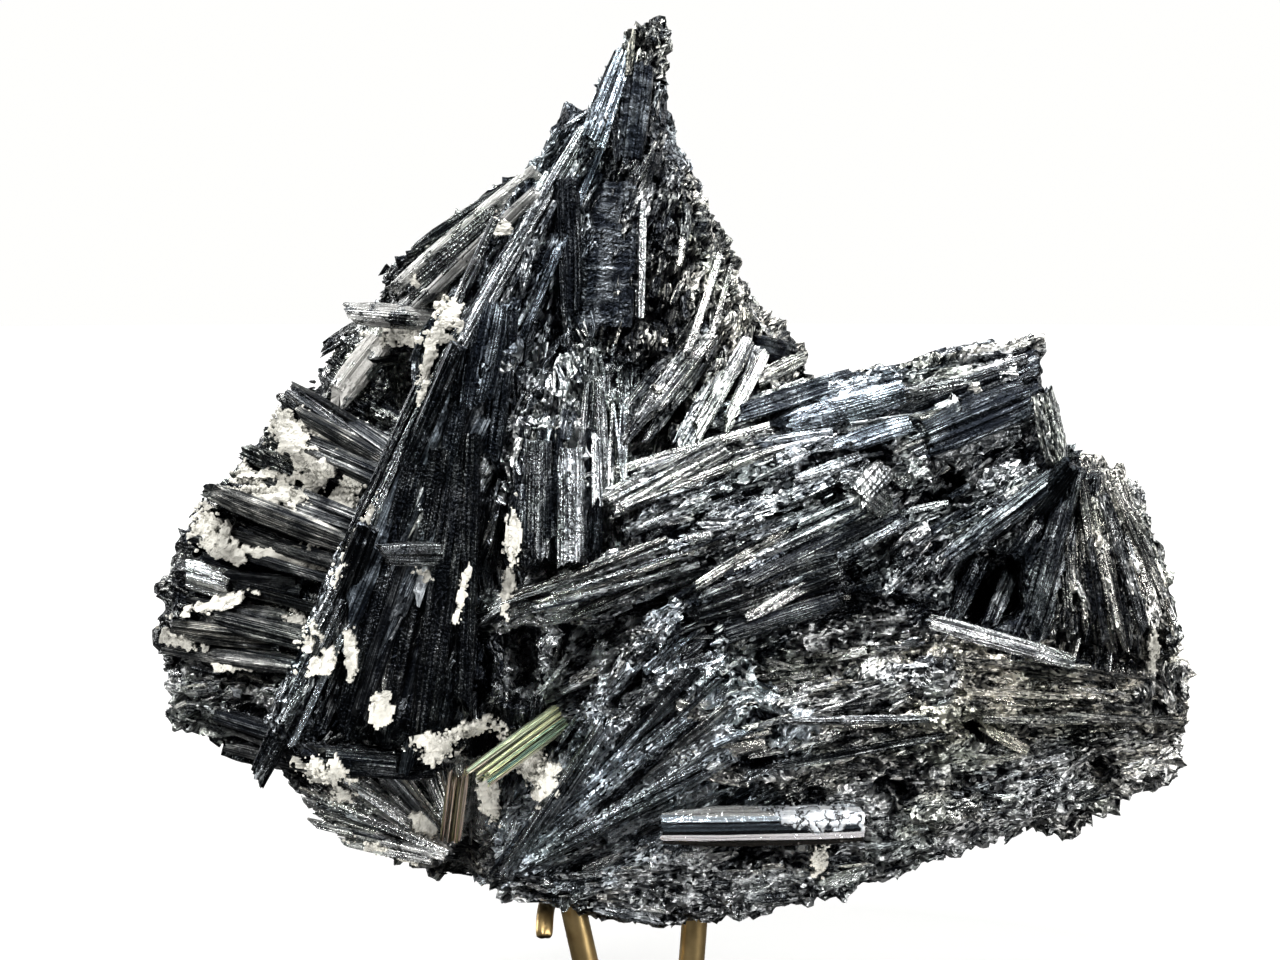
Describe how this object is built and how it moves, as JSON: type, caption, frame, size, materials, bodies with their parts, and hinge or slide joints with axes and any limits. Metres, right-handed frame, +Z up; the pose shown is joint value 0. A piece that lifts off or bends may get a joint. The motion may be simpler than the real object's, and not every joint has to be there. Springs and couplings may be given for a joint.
{
  "type": "stibnite crystal specimen on a wire stand",
  "caption": "Intergrown spray of metallic bladed crystals with a tall peak and a low lobe, held upright on a bent brass rod stand with a round foot.",
  "frame": {"origin": "centre of the foot's flat underside", "axes": "+Z up, +X towards the low lobe, -Y out of the face shown, +Y towards the specimen's back"},
  "size_m": [0.1573, 0.086, 0.162],
  "materials": {
    "stibnite": "lead-grey metallic sulphide, fibres grooved lengthwise, bright glints and black hollows",
    "dark_crystal": "smooth blue-black metallic crystal faces",
    "coated_crystal": "metallic crystal under a thin cream crust",
    "tarnished_crystal": "metallic crystal with bands of yellow, green and pink tarnish",
    "brass": "plain drawn rod and turned foot, softly polished, slightly mottled with age"
  },
  "bodies": {
    "root": {"crystal_mass": "stibnite", "shelf_crystal": "coated_crystal", "coated_blade": "coated_crystal", "rod_crystal": "dark_crystal", "edge_blade": "dark_crystal", "ledge_crystal": "stibnite", "step_crystal": "stibnite", "iridescent_blade": "tarnished_crystal", "iridescent_lath": "tarnished_crystal", "pocket_prism": "stibnite", "crossing_blade": "stibnite", "fan_blade_1": "dark_crystal", "fan_blade_2": "dark_crystal", "fan_blade_3": "stibnite", "stand_foot": "brass", "stand_post_left": "brass", "stand_post_right": "brass", "stand_back_arm": "brass"}
  },
  "joints": []
}
